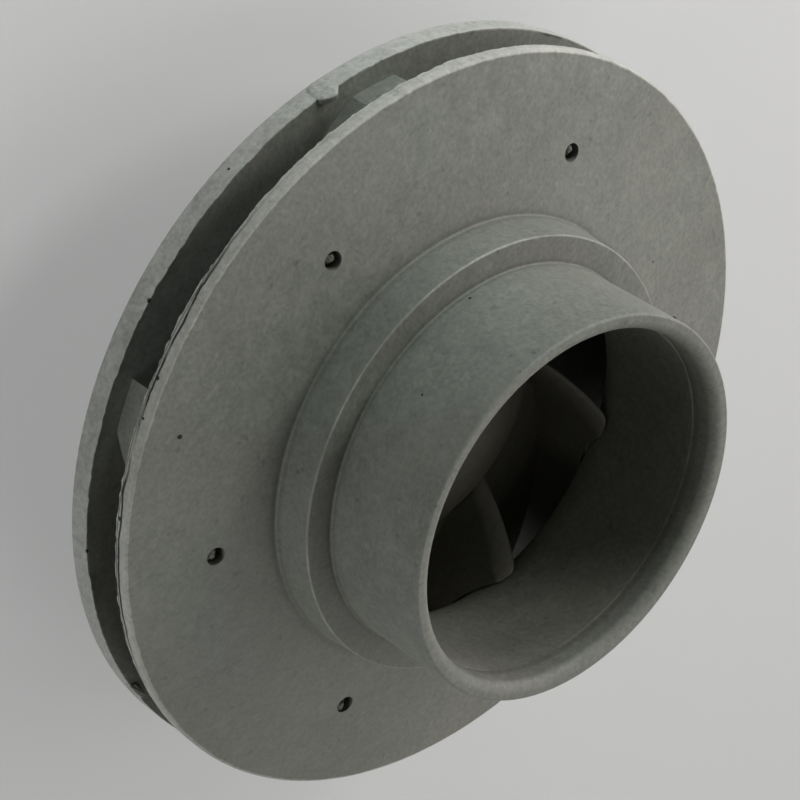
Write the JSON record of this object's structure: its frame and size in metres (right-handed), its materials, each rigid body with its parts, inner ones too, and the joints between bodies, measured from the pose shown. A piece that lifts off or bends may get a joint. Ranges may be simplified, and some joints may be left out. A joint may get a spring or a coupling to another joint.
{
  "type": "closed centrifugal pump impeller",
  "caption": "Closed pump impeller: a back shroud with backward-curved vanes and a threaded hub, closed by a conical cover with a stepped neck around the eye.",
  "frame": {"origin": "centre of the hub's end face, on the shaft axis", "axes": "+Z along the shaft axis, from the hub's end towards the eye; one vane tip lies about 52 degrees from +X towards +Y, and the vanes repeat every 60 degrees"},
  "size_m": [0.133, 0.133, 0.0671],
  "materials": {
    "body_moulding": "mid grey glass-filled moulding, matt, faintly mottled",
    "cover_moulding": "mid grey glass-filled moulding, matt, faintly mottled",
    "bush_brass": "turned"
  },
  "bodies": {
    "root": {"impeller_body": "body_moulding", "cover": "cover_moulding", "threaded_bush": "bush_brass"}
  },
  "joints": []
}
